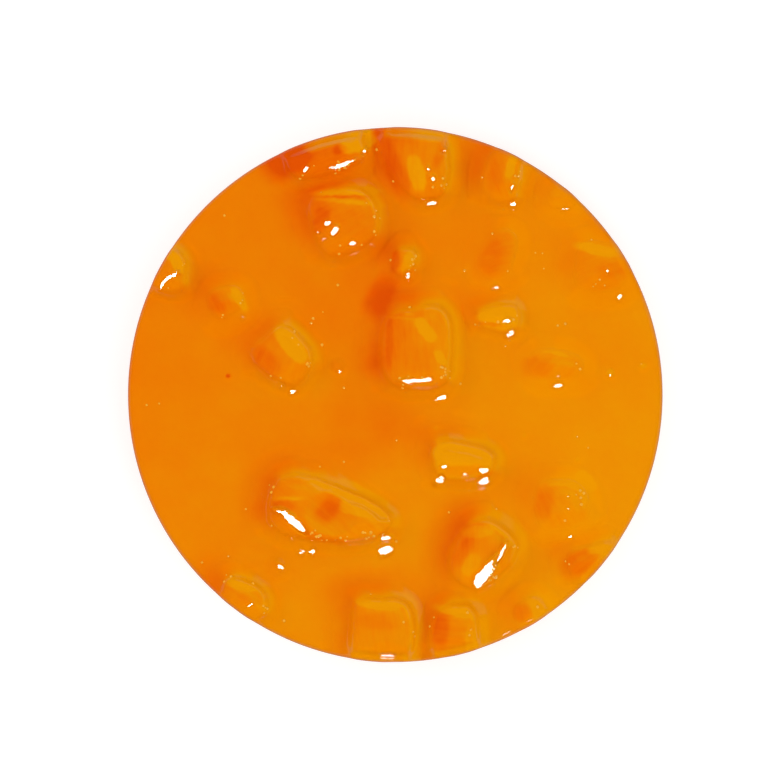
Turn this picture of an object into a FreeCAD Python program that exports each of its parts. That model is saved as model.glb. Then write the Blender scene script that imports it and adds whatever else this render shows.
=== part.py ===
"""A round of thick apricot sauce with pieces of cut apricot standing in it.

The round lies flat on its foot, with the origin at the middle of the foot and +Z up.
The sauce is one solid whose skin climbs a little at every piece of fruit, and each
piece is a solid of its own in a pocket of the sauce. Pieces that reach the side of
the round are cut off flush with it.
"""
import FreeCAD, Part
import math
import os
from collections import namedtuple
from FreeCAD import Vector

# The round of sauce, in millimetres
ROUND_DIAMETER = 80.0
SAUCE_DEPTH = 10.0      # level of the sauce away from the fruit
FOOT_INSET = 1.0        # how much the foot is tucked in under the widest ring
TOP_INSET = 0.4         # how much the level of the sauce is narrower than that ring
BELLY_HEIGHT = 4.2      # height of the widest ring
RIM_ROUND = 0.8         # soft edge between the side and the top
FLOOR_FILM = 1.2        # sauce left under the fruit

# The fruit
CUT_LENGTH = 12.7       # the fruit is diced at half an inch
CUT_DEPTH = 9.6         # and stands this deep, if the sauce has room for it
EDGE_ROUND = 1.3        # soft edge of a cut piece
UNEVEN = 0.06           # how far a cut strays from an even outline, as a share of its size
CROWN_DOME = 0.35       # how far a crown swells above its edge, or a quarter of its height
WEB = 0.5               # least sauce between two pieces
FRUIT_SHOULDER = 1.6    # soft edge of a piece that the side of the round cuts off
STONE_RADIUS = 8.0      # hollow that the stone left in the longest piece
STONE_DEPTH = 1.1

# The skin of the sauce
COLLAR_SHARE = 0.45     # how far the sauce climbs a piece, as a share of its crown
COLLAR_REACH = 1.2      # distance over which that climb fades to about a third
SKIN_DIRECTIONS = 200   # points round each ring of the skin
SKIN_RINGS = 36         # rings from the rim in to the pole
RIM_STEPS = 4           # rings in the soft rim
WALL_SHARES = (0, 0.12, 0.25, 0.38, 0.5, 0.62, 0.75, 0.88, 0.96)    # rings up the side

OUTLINE_POINTS = 24     # points round a section of a piece
EDGE_STEPS = 3          # sections in each soft edge
SIDE_SHARES = (0.08, 0.25, 0.5, 0.75, 0.92)     # sections of a side, as shares of its height
CROWN_SHARES = (0.1, 0.25, 0.45, 0.65, 0.85)    # sections of a crown, as shares of the way in

# across and up are shares of the round's radius, length and width shares of the cut
# length. heading is the direction of the length in degrees from +X. crown is the
# height above the sauce in millimetres. square is 2 for an oval and more for a
# squarer outline, taper narrows the end that heading points to, and rise_x and
# rise_y are the slopes of the crown.
Piece = namedtuple("Piece", "across up length width heading crown square taper rise_x rise_y")

PIECES = [
    Piece(-0.262, 0.914, 0.96, 0.60, 19, 3.0, 2.8, 0.08, 0.02, -0.06),
    Piece(0.087, 0.870, 0.98, 0.72, -70, 3.2, 2.8, 0.40, 0.03, -0.02),
    Piece(0.400, 0.820, 0.64, 0.48, 80, 2.0, 3.0, 0.10, 0.05, 0.00),
    Piece(0.620, 0.733, 0.36, 0.30, 0, 0.8, 2.2, 0.00, 0.00, 0.00),
    Piece(-0.190, 0.655, 0.84, 0.76, 12, 2.6, 2.7, 0.10, 0.03, -0.04),
    Piece(0.031, 0.500, 0.36, 0.29, 75, 2.2, 2.4, 0.10, 0.00, 0.00),
    Piece(0.381, 0.516, 0.72, 0.48, 62, 0.8, 2.6, 0.10, 0.02, 0.02),
    Piece(0.772, 0.478, 0.72, 0.64, -8, 1.3, 2.8, 0.10, -0.02, -0.02),
    Piece(-0.843, 0.462, 0.50, 0.40, 80, 2.2, 2.8, 0.05, 0.05, 0.00),
    Piece(-0.634, 0.350, 0.46, 0.38, 20, 1.4, 2.5, 0.10, 0.00, -0.03),
    Piece(-0.418, 0.143, 0.72, 0.60, -45, 2.5, 3.0, 0.14, 0.04, -0.04),
    Piece(0.083, 0.178, 1.00, 0.82, 91, 3.2, 3.4, 0.05, 0.03, -0.05),
    Piece(0.383, 0.288, 0.52, 0.32, 178, 1.9, 2.8, 0.34, 0.03, 0.00),
    Piece(0.602, 0.110, 0.72, 0.45, -4, 0.8, 2.6, 0.08, 0.00, 0.02),
    Piece(0.252, -0.247, 0.76, 0.46, -3, 2.7, 2.9, 0.12, 0.02, -0.04),
    Piece(-0.244, -0.443, 1.44, 0.70, -13, 3.0, 2.8, 0.38, 0.02, -0.05),
    Piece(0.620, -0.414, 0.72, 0.66, 8, 1.2, 2.8, 0.08, 0.00, 0.02),
    Piece(0.318, -0.600, 0.86, 0.68, -123, 3.1, 2.8, 0.24, 0.02, -0.02),
    Piece(-0.566, -0.768, 0.60, 0.46, -12, 2.2, 2.8, 0.08, 0.03, 0.02),
    Piece(-0.050, -0.882, 0.76, 0.80, 3, 3.1, 3.4, 0.04, 0.02, -0.03),
    Piece(0.224, -0.884, 0.64, 0.56, 84, 2.9, 3.2, 0.12, 0.02, 0.02),
    Piece(0.736, -0.616, 0.62, 0.40, 22, 1.6, 2.8, 0.08, 0.00, 0.03),
    Piece(0.505, -0.815, 0.40, 0.34, 35, 1.4, 2.6, 0.08, 0.00, 0.02),
]

STONE_PIECE = max(range(len(PIECES)), key=lambda index: PIECES[index].length)

radius = ROUND_DIAMETER / 2


def half_sizes(piece, scale):
    """Half the length and half the width of a piece."""
    return piece.length * CUT_LENGTH / 2 * scale, piece.width * CUT_LENGTH / 2 * scale


def centre(piece):
    return Vector(piece.across * radius, piece.up * radius, 0)


def cut_wobble(piece, angle):
    """How a hand's cut strays from an even outline, as a factor close to 1."""
    start = 10 * (piece.across + 2 * piece.up)
    wave = math.sin(2 * angle + start) + math.sin(3 * angle + 2.3 * start)
    return 1 + UNEVEN / 2 * wave


def outline(piece, scale, inset):
    """Points round a piece's section, about its own centre."""
    half_length, half_width = half_sizes(piece, scale)
    heading = math.radians(piece.heading)
    points = []
    for step in range(OUTLINE_POINTS):
        angle = 2 * math.pi * step / OUTLINE_POINTS
        cosine, sine = math.cos(angle), math.sin(angle)
        reach = (abs(cosine) ** piece.square + abs(sine) ** piece.square) ** (-1 / piece.square)
        reach *= cut_wobble(piece, angle)
        along = (half_length - inset) * reach * cosine
        aside = (half_width - inset) * reach * sine
        aside *= 1 - piece.taper * along / half_length
        x = along * math.cos(heading) - aside * math.sin(heading)
        y = along * math.sin(heading) + aside * math.cos(heading)
        points.append(Vector(x, y, 0))
    return points


def distance_outside(piece, scale, place):
    """Rough distance from a place to a piece's outline, less than zero inside it."""
    half_length, half_width = half_sizes(piece, scale)
    heading = math.radians(piece.heading)
    offset = place - centre(piece)
    along = offset.x * math.cos(heading) + offset.y * math.sin(heading)
    aside = offset.y * math.cos(heading) - offset.x * math.sin(heading)
    narrowing = max(0.3, 1 - piece.taper * along / half_length)
    size = (abs(along / half_length) ** piece.square
            + abs(aside / half_width / narrowing) ** piece.square) ** (1 / piece.square)
    if size < 1e-6:
        return -half_width
    angle = math.atan2(aside / half_width / narrowing, along / half_length)
    return offset.Length * (1 - cut_wobble(piece, angle) / size)


def pair_scale(first, second):
    """The scale at which two pieces leave a web of sauce between them."""
    apart = centre(second) - centre(first)
    here, there = outline(first, 1, 0), outline(second, 1, 0)
    best = 0
    for degrees in range(0, 360, 5):
        way = Vector(math.cos(math.radians(degrees)), math.sin(math.radians(degrees)), 0)
        reach = max(p.dot(way) for p in here) + max(-p.dot(way) for p in there)
        best = max(best, (apart.dot(way) - WEB) / reach)
    return best


def fitted_scales():
    """A scale of 1 for each piece, or less where its neighbours crowd it."""
    scales = [1.0] * len(PIECES)
    for i, first in enumerate(PIECES):
        for j in range(i):
            share = pair_scale(PIECES[j], first)
            scales[i] = min(scales[i], share)
            scales[j] = min(scales[j], share)
    return scales


def closed_curve(points):
    """A smooth closed wire through points, with the same knots for any such wire."""
    curve = Part.BSplineCurve()
    evenly = [step / len(points) for step in range(len(points) + 1)]
    curve.interpolate(Points=points, PeriodicFlag=True, Parameters=evenly)
    return Part.Wire([curve.toShape()])


def section(piece, scale, inset, height, tipped):
    """A closed section of a piece, level or tipped as its crown is."""
    middle = centre(piece)
    points = []
    for point in outline(piece, scale, inset):
        rise = tipped * (piece.rise_x * point.x + piece.rise_y * point.y)
        points.append(middle + point + Vector(0, 0, height + rise))
    return closed_curve(points)


def make_piece(piece, scale):
    """A cut piece of fruit: a soft foot, straight sides, a soft edge and a domed crown."""
    half_narrow = min(half_sizes(piece, scale))
    soft = min(EDGE_ROUND, 0.4 * half_narrow)
    dome = min(CROWN_DOME, piece.crown / 4)
    crown = SAUCE_DEPTH + piece.crown - dome
    foot = max(FLOOR_FILM, crown - CUT_DEPTH)
    quarter = [math.pi / 2 * step / EDGE_STEPS for step in range(EDGE_STEPS + 1)]
    rings = []
    for turn in quarter:
        inset, height = soft * (1 - math.sin(turn)), foot + soft * (1 - math.cos(turn))
        rings.append(section(piece, scale, inset, height, 0))
    for share in SIDE_SHARES:
        height = foot + soft + (crown - foot - 2 * soft) * share
        rings.append(section(piece, scale, 0, height, share))
    for turn in quarter:
        inset, height = soft * (1 - math.cos(turn)), crown - soft + soft * math.sin(turn)
        rings.append(section(piece, scale, inset, height, 1))
    for share in CROWN_SHARES:
        inset = soft + (half_narrow - soft) * share
        height = crown + dome * (1 - (1 - share) ** 2)
        rings.append(section(piece, scale, inset, height, 1))
    return Part.makeLoft(rings, True)


def stone_hollow(piece):
    """The ball that scoops the stone's hollow out of a piece's crown."""
    lift = SAUCE_DEPTH + piece.crown + STONE_RADIUS - STONE_DEPTH
    return Part.makeSphere(STONE_RADIUS, centre(piece) + Vector(0, 0, lift))


def side_radius(height):
    """Half the width of the round at a height: one arc from the foot over the belly."""
    foot = Vector(radius - FOOT_INSET, 0, 0)
    belly = Vector(radius, 0, BELLY_HEIGHT)
    level = Vector(radius - TOP_INSET, 0, SAUCE_DEPTH)
    arc = Part.Circle(foot, belly, level)
    return arc.Center.x + math.sqrt(arc.Radius ** 2 - (height - arc.Center.z) ** 2)


def fruit_space():
    """What lies inside the side of the round, with a soft edge over the tallest crown."""
    top = SAUCE_DEPTH + max(piece.crown for piece in PIECES) + CROWN_DOME
    foot, belly = Vector(side_radius(0), 0, 0), Vector(radius, 0, BELLY_HEIGHT)
    edge = Vector(side_radius(top), 0, top)
    corners = [Part.Arc(foot, belly, edge), Part.LineSegment(edge, Vector(0, 0, top)),
               Part.LineSegment(Vector(0, 0, top), Vector(0, 0, 0)),
               Part.LineSegment(Vector(0, 0, 0), foot)]
    profile = Part.Face(Part.Wire([corner.toShape() for corner in corners]))
    solid = profile.revolve(Vector(0, 0, 0), Vector(0, 0, 1), 360)
    rim = max(solid.Edges, key=lambda edge: (edge.BoundBox.ZMin, edge.Length))
    return solid.makeFillet(FRUIT_SHOULDER, [rim])


def reaches_side(piece, scale):
    """Whether a piece comes under the soft edge that the side of the round cuts."""
    return any((centre(piece) + point).Length > radius - FRUIT_SHOULDER - TOP_INSET
               for point in outline(piece, scale, 0))


def sauce_height(scales, place):
    """Height of the sauce's skin: its level and the collars that climb the fruit."""
    total = 0
    for piece, scale in zip(PIECES, scales):
        rise = COLLAR_SHARE * piece.crown
        away = distance_outside(piece, scale, place) / COLLAR_REACH
        collar = rise * math.exp(-away) if away > 0 else rise * (1.5 - 0.5 * math.exp(away))
        total += collar ** 2
    return SAUCE_DEPTH + math.sqrt(total)


def rim_places(pole):
    """Places round the top of the round, evenly spread as seen from the pole."""
    rim = radius - TOP_INSET - RIM_ROUND
    places = []
    for step in range(SKIN_DIRECTIONS):
        angle = 2 * math.pi * step / SKIN_DIRECTIONS
        way = Vector(math.cos(angle), math.sin(angle), 0)
        lead = pole.dot(way)
        places.append(pole + way * (math.sqrt(lead ** 2 - pole.dot(pole) + rim ** 2) - lead))
    return places


def sauce_rings(scales):
    """Rings that run up the side, over the soft rim and in across the top to the pole.

    The pole is the middle of the piece nearest the axis, whose pocket takes away the
    small flat that closes the last ring.
    """
    pole = min((centre(piece) for piece in PIECES), key=lambda place: place.Length)
    places = rim_places(pole)
    tops = [sauce_height(scales, place) for place in places]
    rings = []
    for share in WALL_SHARES:
        ring = []
        for place, top in zip(places, tops):
            height = (top - RIM_ROUND) * share
            ring.append(place * (side_radius(height) / place.Length) + Vector(0, 0, height))
        rings.append(ring)
    for step in range(RIM_STEPS + 1):
        turn = math.pi / 2 * step / RIM_STEPS
        ring = []
        for place, top in zip(places, tops):
            height = top - RIM_ROUND
            out = place.Length + (side_radius(height) - place.Length) * math.cos(turn)
            rise = height + RIM_ROUND * math.sin(turn)
            ring.append(place * (out / place.Length) + Vector(0, 0, rise))
        rings.append(ring)
    for step in range(1, SKIN_RINGS):
        share = 1 - step / SKIN_RINGS
        inner = [pole + (place - pole) * share for place in places]
        rings.append([place + Vector(0, 0, sauce_height(scales, place)) for place in inner])
    level = max(place.z for place in rings[-1])
    rings[-1] = [Vector(place.x, place.y, level) for place in rings[-1]]
    return rings


def sauce_round(scales):
    """The sauce as if it held no fruit, lofted through its rings."""
    return Part.makeLoft([closed_curve(ring) for ring in sauce_rings(scales)], True)


def main():
    os.makedirs("parts", exist_ok=True)
    scales = fitted_scales()
    sauce = sauce_round(scales)
    space = fruit_space()
    wholes = [make_piece(piece, scale) for piece, scale in zip(PIECES, scales)]
    for index, fruit in enumerate(wholes):
        if reaches_side(PIECES[index], scales[index]):
            fruit = fruit.common(space)
        if index == STONE_PIECE:
            fruit = fruit.cut(stone_hollow(PIECES[index]))
        fruit.exportStep("parts/apricot_piece_%02d.step" % (index + 1))
    sauce.cut(wholes).exportStep("parts/sauce.step")


main()
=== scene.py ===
"""The looks of a round of thick apricot sauce with cut apricot under its film.

The top is read from the solids as a height field, softened as a film of sauce softens
it, and every dressed piece takes its top from that one film. So the sauce and the
fruit meet with no step, and each stays a closed piece of its own.
"""
import math

import bpy
import numpy
from mathutils import Matrix, Vector, noise
from mathutils.bvhtree import BVHTree
from mathutils.kdtree import KDTree


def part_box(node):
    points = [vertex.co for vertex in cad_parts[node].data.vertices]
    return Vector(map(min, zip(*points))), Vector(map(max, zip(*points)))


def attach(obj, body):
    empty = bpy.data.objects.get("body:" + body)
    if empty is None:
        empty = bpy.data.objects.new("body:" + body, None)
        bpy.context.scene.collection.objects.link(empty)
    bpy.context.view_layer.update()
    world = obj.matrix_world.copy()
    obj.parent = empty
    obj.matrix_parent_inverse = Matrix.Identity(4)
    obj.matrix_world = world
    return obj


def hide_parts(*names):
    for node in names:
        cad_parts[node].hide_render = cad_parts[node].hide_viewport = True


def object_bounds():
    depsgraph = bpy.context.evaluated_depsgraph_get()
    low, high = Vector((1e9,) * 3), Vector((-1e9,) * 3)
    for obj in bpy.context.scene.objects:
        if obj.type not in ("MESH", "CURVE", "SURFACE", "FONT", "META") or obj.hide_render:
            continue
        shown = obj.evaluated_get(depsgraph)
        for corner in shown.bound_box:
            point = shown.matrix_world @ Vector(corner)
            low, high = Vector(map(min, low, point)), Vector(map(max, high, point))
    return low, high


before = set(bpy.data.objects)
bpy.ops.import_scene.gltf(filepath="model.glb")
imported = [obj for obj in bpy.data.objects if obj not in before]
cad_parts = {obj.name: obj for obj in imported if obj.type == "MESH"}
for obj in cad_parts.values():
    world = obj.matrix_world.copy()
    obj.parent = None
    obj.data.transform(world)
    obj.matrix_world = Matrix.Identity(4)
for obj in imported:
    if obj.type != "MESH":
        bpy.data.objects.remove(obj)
cad_low, cad_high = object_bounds()

MM = 0.001
SAUCE = "sauce"
FRUIT = sorted(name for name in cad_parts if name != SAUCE)

# The film
GRID_STEP = 0.16 * MM       # spacing of the height field
FILM_REACH = 0.20 * MM      # how far the film rounds off an edge
SWAY = 0.30 * MM            # how far it strays from the solids' even outlines
SEAM_SOFTNESS = 0.3 * MM    # how softly the mark of a piece fades at its seam
SEAM_DEPTH = 5.0 * MM       # how steeply the sauce and the fruit slip under each other
SEAM_LAP = 0.5 * MM         # how far a piece's film laps over the sauce before it slips under
SEAM_LIFT = 0.012 * MM      # how far it lies above the sauce there
SAUCE_SLIP = 0.75           # the sauce slips under the fruit where a piece's mark is over this
FRUIT_SLIP = 0.36           # and the fruit's film under the sauce where its mark is under this
PUCKER_INSET = 1.35 * MM    # where the film dips, in from the edge of a cut
PUCKER_WIDTH = 0.42 * MM
PUCKER_DEPTH = 0.16 * MM
COLLAR_FADE = 1.2 * MM      # the solid's collars fade to a third over this distance
COLLAR_SHARE = 0.45         # they climb this share of a crown
STEEP_COLLAR = 0.80         # slope of the film's collar on a tall piece, down to its crease
TALL_COLLAR = 0.72 * MM     # a collar is tall from this height
WIDE_FOOT = 2.6 * MM        # how far out the low ones end

# The rim and the wall
RIM_ROUND = 0.8 * MM        # soft edge between the top and the wall
RIM_HEIGHT = 8.0 * MM       # the rim is as wide as the solids are here
RIM_LAP = 0.3 * MM          # how far over the rim a piece's film goes before it slips under
RIM_SLIP = 2000             # how steeply it does so: its drop in metres is this x overhang squared
WALL_TOP = 8.6 * MM         # the wall's width is read from the foot up to here
WALL_LEVELS = 12            # rings of points down the wall
WALL_BULGE = 0.07 * MM      # how far the wall swells over fruit that lies close behind it
WALL_FADE = 4.0 * MM        # the top's shades run down the wall this far
WALL_SHADE = 0.16           # how much deeper its colour is over fruit
WALL_GLOSS = 0.35           # how glossy the wall is beside the top

# The meshes
SAUCE_CELLS = 272           # cells across the sauce's top
FRUIT_RING = 0.13 * MM      # spacing of the rings on a piece of fruit
FRUIT_ARC = 0.16 * MM       # spacing of the points round it
SIDE_START = 3.4 * MM       # a piece's own sides begin this far under its top
SIDE_LEVELS = 9             # rings of points down them
FOOT_GAP = 0.05 * MM        # and they end this far over its foot
HOST_CELLS = 180            # cells across the sheet that bubbles and pulp are laid on

# The film lies flat over the small faces of a cut, and there it mirrors the window. For
# each piece: how far across and up its box a flat lies, as shares of half the box, then
# its length and width in millimetres and the direction of its length in degrees.
FLATS = {
    1: [(0.45, -0.39, 4.4, 0.5, 20), (-0.45, -0.60, 1.1, 0.7, 63), (0.95, 0.12, 0.9, 0.5, 30)],
    2: [(0.50, -1.04, 1.7, 0.8, 10), (0.55, -0.40, 0.9, 0.5, -60), (0.42, -0.15, 0.8, 0.4, -75),
        (0.85, 0.35, 0.9, 0.4, 20)],
    3: [(0.50, -0.40, 1.2, 0.3, 78), (0.55, -0.98, 1.2, 0.9, 0)],
    4: [(0.20, -0.90, 0.9, 0.5, 20)],
    5: [(-0.45, -0.05, 1.1, 0.8, 20), (-0.25, -0.27, 1.7, 0.8, 60), (0.25, -0.62, 1.0, 0.6, 25),
        (-0.70, -0.30, 0.5, 0.4, 0), (-0.55, -0.50, 0.6, 0.4, 40)],
    6: [(0.35, -0.98, 1.2, 0.8, -72)],
    7: [(0.00, -1.00, 1.2, 0.9, 10)],
    8: [(0.18, -0.20, 0.7, 0.2, -60), (0.60, -1.08, 1.2, 0.7, 80)],
    9: [(0.10, -0.25, 2.4, 0.7, 32), (-0.40, -0.60, 1.5, 0.6, 62)],
    10: [(0.85, -0.80, 1.0, 0.5, -60)],
    11: [(0.00, -0.92, 1.2, 0.5, -45), (0.35, -1.15, 1.2, 0.7, 25)],
    12: [(0.00, -0.79, 5.2, 0.6, 0), (0.70, -1.18, 1.8, 0.6, 12)],
    13: [(0.40, -0.15, 1.2, 0.4, 8), (0.55, -1.02, 1.6, 0.9, 35)],
    14: [(0.05, -0.55, 0.3, 0.2, 0), (0.05, -1.05, 1.4, 0.9, 15)],
    15: [(-0.60, -0.30, 0.9, 0.4, -20), (-0.75, -0.94, 1.7, 1.1, 28), (0.05, -0.65, 0.4, 0.3, 0),
         (0.65, -0.48, 1.6, 0.7, 7), (0.65, -1.00, 2.1, 1.5, 10)],
    16: [(-0.57, -0.37, 5.2, 1.1, -41), (-0.77, -0.10, 2.2, 0.5, -12), (0.90, -0.85, 1.9, 0.9, -9),
         (0.90, -1.22, 2.4, 1.5, 17), (-0.47, -1.30, 1.4, 0.7, 0), (-0.26, -1.25, 1.1, 0.8, 83),
         (-0.77, -1.68, 1.5, 0.8, -58)],
    17: [(0.22, 0.35, 0.3, 0.2, 90), (0.22, -0.08, 0.2, 0.2, 0), (0.30, -1.02, 0.6, 0.4, 50)],
    18: [(0.04, -0.55, 5.0, 1.6, 54), (0.27, -0.28, 3.4, 1.0, 56), (0.50, 0.02, 3.6, 0.6, 62)],
    19: [(0.22, -0.28, 0.9, 0.3, 43), (-0.10, -0.55, 0.5, 0.3, 45)],
    20: [(0.15, -0.82, 2.2, 0.9, 0)],
}

# Deeper and paler places on the fruit: deeper ones on the sides away from the light, and in a stone's
# hollow, are painted shade;
# paler ones on the sides towards the bright wall are painted sheen; the rest are the fruit's own tone.
# The numbers are those of a flat, and then the change of depth.
SHADE_SHEEN_AND_TONE_PATCHES = {
    1: [(-0.90, -0.25, 7.5, 5.0, 30, 0.40), (-0.75, -0.15, 4.5, 2.8, 30, 0.35),
        (0.80, 0.45, 5.5, 2.6, 20, -0.55), (0.35, 0.20, 2.0, 1.4, 30, 0.30)],
    2: [(-0.50, -0.15, 8.0, 2.6, -70, 0.30), (0.10, -0.25, 5.5, 2.4, -75, -0.40),
        (0.75, 0.30, 5.0, 1.4, 70, 0.25)],
    3: [(-0.20, 0.10, 5.5, 2.2, 80, 0.20), (0.45, 0.35, 3.4, 1.4, 75, -0.30)],
    5: [(0.05, 0.85, 9.6, 1.0, 3, -0.45), (0.10, 0.58, 9.0, 0.7, -6, -0.35),
        (0.00, 0.72, 8.6, 0.5, 0, 0.25), (-0.60, 0.10, 4.0, 2.4, 80, 0.25)],
    6: [(0.35, -0.05, 3.4, 1.6, 70, -0.30), (-0.60, 0.00, 3.2, 1.2, 80, 0.30)],
    7: [(-0.20, 0.00, 6.5, 3.6, 62, 0.20)],
    8: [(-0.20, 0.55, 6.2, 1.5, -12, -0.35), (0.30, -0.20, 4.0, 2.4, 0, 0.15)],
    9: [(0.50, 0.40, 3.2, 1.8, -60, -0.45)],
    10: [(0.70, 0.15, 3.8, 1.2, -58, -0.45), (-0.40, 0.00, 3.0, 3.0, 0, 0.25)],
    11: [(0.30, 0.35, 6.6, 2.6, -50, -0.40), (-0.45, -0.20, 4.6, 3.2, -45, 0.25)],
    12: [(-1.20, 0.20, 34.0, 11.0, 84, 0.13), (-1.00, 1.25, 7.0, 3.6, 60, 0.30),
         (0.25, 0.40, 4.2, 1.9, -50, -0.40), (0.65, -0.25, 2.6, 1.2, -55, -0.35),
         (-0.75, 0.10, 8.0, 1.0, 88, 0.22), (-0.30, 0.68, 4.4, 0.4, -4, -0.25),
         (0.10, -0.25, 4.6, 3.8, 0, 0.12)],
    13: [(-0.20, 0.20, 4.6, 1.6, 10, -0.25), (-0.30, -0.35, 3.6, 0.7, -10, 0.30)],
    14: [(-0.60, -0.10, 4.4, 3.0, 0, 0.22)],
    15: [(-0.15, 0.40, 7.6, 2.4, 2, -0.30), (0.00, -0.50, 7.0, 1.6, 0, 0.25)],
    16: [(0.62, 0.30, 9.0, 1.7, -33, -0.40), (0.45, 0.02, 5.4, 2.5, -8, -0.35),
         (-0.02, -0.05, 4.0, 2.8, 50, 0.36), (-0.65, 0.28, 3.8, 0.5, 0, -0.40),
         (-0.72, 0.10, 3.6, 1.6, 0, 0.25), (-0.10, -0.85, 7.0, 1.2, -12, 0.20)],
    17: [(0.80, 0.85, 3.2, 1.7, -50, -0.40), (-0.55, 0.10, 4.4, 2.6, 80, 0.25)],
    18: [(-0.10, 0.62, 4.8, 1.8, 10, -0.25), (-0.55, 0.10, 5.5, 1.8, 60, 0.20),
         (-0.35, -0.30, 3.6, 2.2, 60, -0.20)],
    19: [(-0.05, 0.70, 5.6, 1.8, -8, -0.30), (0.20, 0.00, 4.0, 2.0, 0, 0.15)],
    20: [(-0.10, 0.78, 6.2, 1.5, -5, -0.40), (-0.10, 0.25, 6.5, 2.2, 0, 0.15)],
    21: [(0.05, 0.72, 6.4, 1.3, -12, -0.35), (-0.50, 0.00, 5.0, 2.4, 85, 0.35),
         (0.60, -0.20, 3.6, 0.9, 85, -0.20)],
    22: [(-0.45, -0.10, 5.4, 3.6, 35, 0.38), (0.30, 0.55, 3.2, 1.2, 10, -0.35)],
    23: [(0.55, 0.45, 2.4, 1.3, -50, -0.40), (-0.40, 0.00, 2.6, 2.6, 0, 0.30)],
}

# How wide the sloping edge of each crown is on the side of the bright wall, in millimetres
BEVELS = {
    5: 1.1, 8: 1.0, 11: 0.9, 12: 1.2, 13: 0.9, 15: 1.2, 16: 1.5, 17: 1.0, 18: 1.2, 20: 1.0,
    21: 1.1, 22: 1.0, 23: 0.9,
}
PLAIN_BEVEL = 0.7           # and on the pieces that aren't named
BEVEL_TILT = 33             # how steep it is, in degrees
BEVEL_SHARE = 0.34          # the most of a crown's height that it takes

WINDOW_AZIMUTH = -80        # where the window stands, in degrees from +X
WINDOW_LIFT = 42            # and how high, in degrees
OVAL_POWER = 2.6            # over 2, a flat or a patch is squarer than an ellipse
FRAY = 0.16 * MM            # how far its edge strays
FLAT_SOFTNESS = 0.22 * MM   # how softly a flat ends
FLAT_EDGE = 0.35            # a flat is made this many millimetres wider, for its soft edge
PALE_SOFTNESS = 0.40 * MM   # how softly a paler patch ends
DEEP_SOFTNESS = 0.45        # and a deeper one, as a share of its width
DULL_SPREAD = 0.40          # slopes this near to the window's mirror slope begin to be dull
DULL_EDGE = 0.12            # and are wholly dull this much nearer

# Small swells of the open sauce: how far across and up, as shares of the radius, then the
# radius, the height in millimetres, and the change of depth.
SWELLS = [
    (-0.215, 0.108, 1.1, 0.40, 0.10),
    (-0.440, -0.643, 1.7, 0.40, 0.05),
    (0.800, 0.083, 0.65, 0.30, -0.20),
    (0.925, 0.108, 0.55, 0.26, -0.20),
    (-0.625, 0.070, 0.35, 0.08, 0.90),
    (0.150, -0.125, 0.40, 0.14, -0.15),
    (0.480, -0.150, 0.35, 0.12, -0.10),
    (0.680, -0.240, 0.35, 0.12, -0.10),
]

# Broad deeper and paler areas of the open sauce, partly painted shade in the lee of the fruit and
# partly the sauce's own tone: how far across and up, as shares of the radius, then the length and the
# width in millimetres, the heading in degrees, and the change of depth.
SHADES = [
    (-0.115, 0.255, 8.0, 6.0, 90, -0.24),
    (-0.270, 0.310, 12.0, 9.0, 90, 0.16),
    (-0.235, -0.140, 24.0, 8.0, 5, 0.12),
    (-0.165, -0.235, 15.0, 5.0, -5, 0.12),
    (0.005, -0.110, 6.0, 5.0, 0, 0.16),
    (-0.225, 0.835, 8.0, 6.0, 10, 0.18),
    (0.000, 0.985, 6.0, 4.0, 0, 0.22),
    (-0.075, -0.690, 13.0, 3.6, 10, 0.16),
    (-0.205, -0.880, 8.0, 6.0, 90, -0.14),
    (0.110, -0.220, 7.0, 7.0, 0, -0.14),
    (0.110, -0.540, 8.0, 6.0, 90, -0.12),
    (0.000, -0.800, 6.0, 9.0, 0, 0.12),
    (0.290, -0.470, 8.0, 5.0, 40, 0.14),
    (-0.555, 0.240, 7.0, 5.0, 90, -0.10),
    (-0.555, -0.320, 7.0, 5.0, 90, -0.10),
    (0.790, 0.430, 9.0, 9.0, 0, 0.10),
]

# How much deeper in colour a piece is than the sauce, and paler where less than zero
TONES = {
    1: 0.16, 2: 0.10, 3: 0.04, 4: 0.0, 5: 0.10, 6: 0.0, 7: 0.12, 8: 0.10, 9: 0.0, 10: 0.08,
    11: 0.08, 12: 0.08, 13: -0.20, 14: 0.06, 15: -0.18, 16: 0.10, 17: 0.08, 18: 0.18, 19: 0.0,
    20: 0.10, 21: 0.22, 22: 0.12, 23: 0.06,
}

LIGHT_SIDE = Vector((0.85, -0.53))      # the side that most of the light comes from
BRIGHT_SIDE = Vector((0.62, 0.78))      # the side that the room's bright wall is on

radius = (cad_high.x - cad_low.x) / 2


# ---------------------------------------------------------------- reading the solids

def solid_tree(names):
    """A search tree of the named solids, and which of them each triangle belongs to."""
    points, triangles, owners = [], [], []
    for number, name in enumerate(names):
        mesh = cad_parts[name].data
        start = len(points)
        points += [vertex.co.copy() for vertex in mesh.vertices]
        triangles += [[start + i for i in face.vertices] for face in mesh.polygons]
        owners += [number] * len(mesh.polygons)
    return BVHTree.FromPolygons(points, triangles), owners


everything, owners = solid_tree([SAUCE] + FRUIT)


def wall_radius_at(height, directions=48):
    """Half the width of the round at a height, where it is widest."""
    best = 0
    for step in range(directions):
        angle = 2 * math.pi * step / directions
        way = Vector((math.cos(angle), math.sin(angle), 0))
        start = way * radius * 2 + Vector((0, 0, height))
        hit = everything.ray_cast(start, -way)[0]
        if hit:
            best = max(best, Vector((hit.x, hit.y)).length)
    return best


def waves(x, y, size, seed):
    """A smooth random field between about -1 and 1, with swells of the given size."""
    flat_x, flat_y = numpy.ravel(x) / size, numpy.ravel(y) / size
    values = [noise.noise(Vector((a, b, seed))) for a, b in zip(flat_x, flat_y)]
    return numpy.array(values).reshape(numpy.shape(x))


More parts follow.
